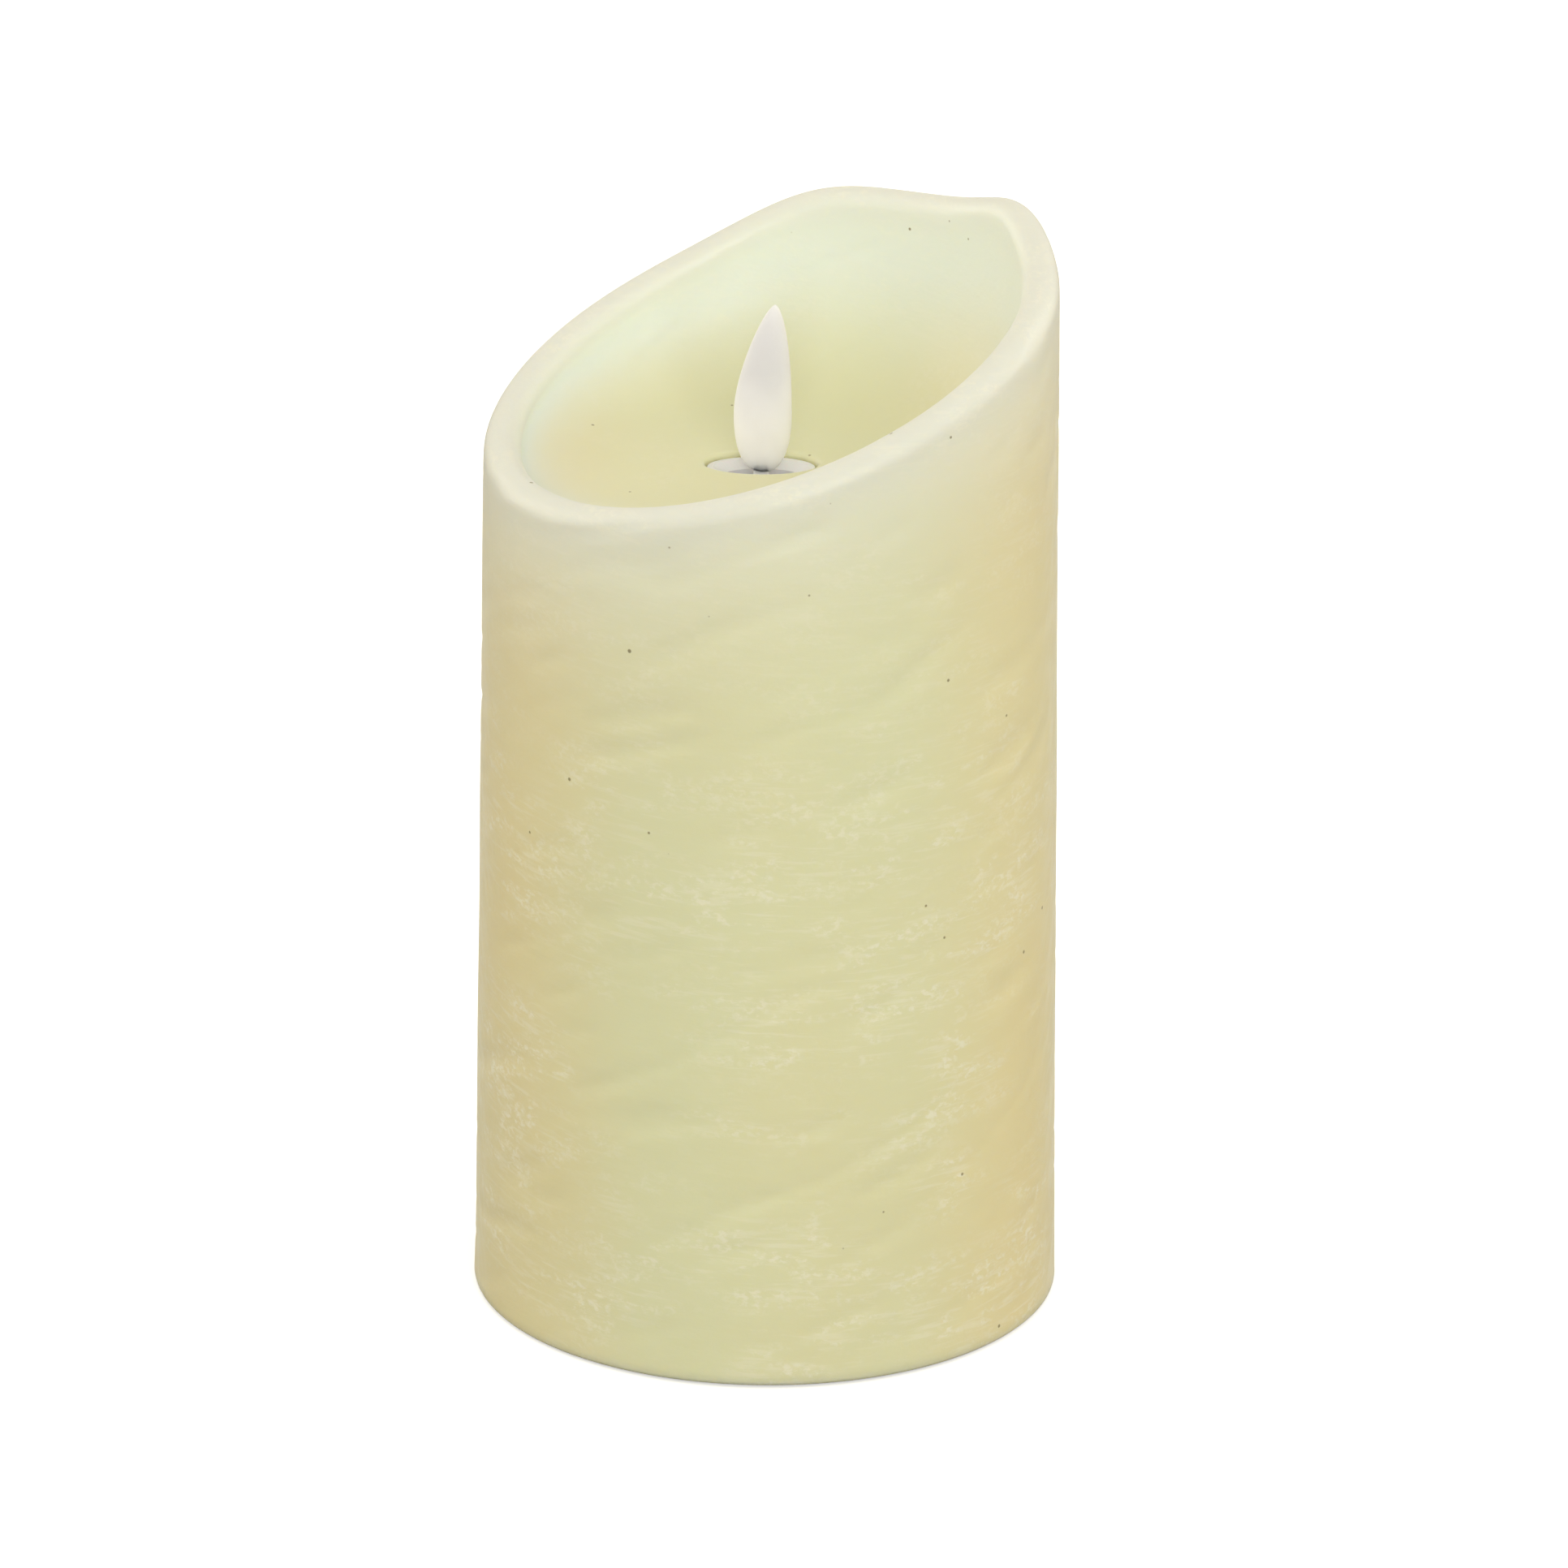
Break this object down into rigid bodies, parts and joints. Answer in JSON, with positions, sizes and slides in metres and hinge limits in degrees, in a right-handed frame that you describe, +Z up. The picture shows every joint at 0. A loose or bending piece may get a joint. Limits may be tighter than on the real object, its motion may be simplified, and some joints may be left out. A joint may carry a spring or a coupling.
{
  "type": "flameless LED candle",
  "caption": "Ivory wax pillar with a melted slanting rim, a dished top and a swinging white flame piece over an oval opening, on a plastic base with a battery door and a slide switch.",
  "frame": {"origin": "on the candle's axis, at the level of the table it stands on", "axes": "+Z up along the candle's axis; -Y is the front, towards the viewer; +X is the side on which the rim is high"},
  "size_m": [0.09, 0.09, 0.17],
  "materials": {
    "wax": "real paraffin wax, ivory, satin with frosty bloom; translucent",
    "core_white": "moulded white plastic",
    "base_ivory": "moulded ivory plastic, fine texture",
    "flame_white": "translucent milky plastic",
    "bobbin_plastic": "moulded nylon, natural",
    "steel": "zinc-plated steel",
    "nickel": "nickel-plated spring steel",
    "magnet": "nickel-plated magnet",
    "cell_jacket": "printed-free shrink jacket of a battery, gloss",
    "switch_black": "moulded black plastic",
    "switch_brown": "phenolic board of the switch",
    "gold_pins": "tinned brass pins",
    "board": "green solder mask on glass-fibre board",
    "chip_black": "black epoxy",
    "capacitor_sleeve": "dark blue sleeve",
    "copper_wire": "enamelled copper",
    "led_lens": "clear epoxy lens, warm white lamp",
    "wire_red": "red PVC insulation",
    "wire_black": "black PVC insulation",
    "wire_white": "white PVC insulation"
  },
  "bodies": {
    "root": {"wax_shell": "wax", "core_housing": "core_white", "base_tray": "base_ivory", "base_screws": "steel", "battery_front": "cell_jacket", "battery_back": "cell_jacket", "contact_positive": "nickel", "contact_negative": "nickel", "contact_link": "nickel", "spring_front": "nickel", "spring_back": "nickel", "switch_body": "switch_brown", "switch_frame": "steel", "switch_pins": "gold_pins", "circuit_board": "board", "board_screws": "steel", "controller_chip": "chip_black", "capacitor": "capacitor_sleeve", "crystal": "nickel", "chip_resistors": "chip_black", "drive_transistors": "chip_black", "module_left_shell": "core_white", "module_right_shell": "core_white", "module_clamp_screws": "steel", "module_mount_screws": "steel", "coil_bobbin": "bobbin_plastic", "coil_winding": "copper_wire", "led_lamp": "led_lens", "led_leads": "steel", "flame_wire": "steel", "battery_wire_red": "wire_red", "battery_wire_black": "wire_black", "switch_wires": "wire_white", "coil_wires": "copper_wire", "led_wires": "wire_white"},
    "flame": {"flame": "flame_white", "flame_magnet": "magnet"},
    "switch_slider": {"switch_slider": "switch_black"},
    "battery_door": {"battery_door": "base_ivory"}
  },
  "joints": [
    {"name": "flame_swing", "type": "hinge", "parent": "root", "child": "flame", "pos_m": [-0.0015, 0, 0.1245], "axis": [0, 1, 0], "range_deg": [-12, 12]},
    {"name": "switch_slide", "type": "slide", "parent": "root", "child": "switch_slider", "axis": [1, 0, 0], "range_m": [-0.002, 0.002]},
    {"name": "battery_door_turn", "type": "hinge", "parent": "root", "child": "battery_door", "pos_m": [0.0262, -0.002, 0.0016], "axis": [0, -1, 0], "range_deg": [0, 95]}
  ]
}
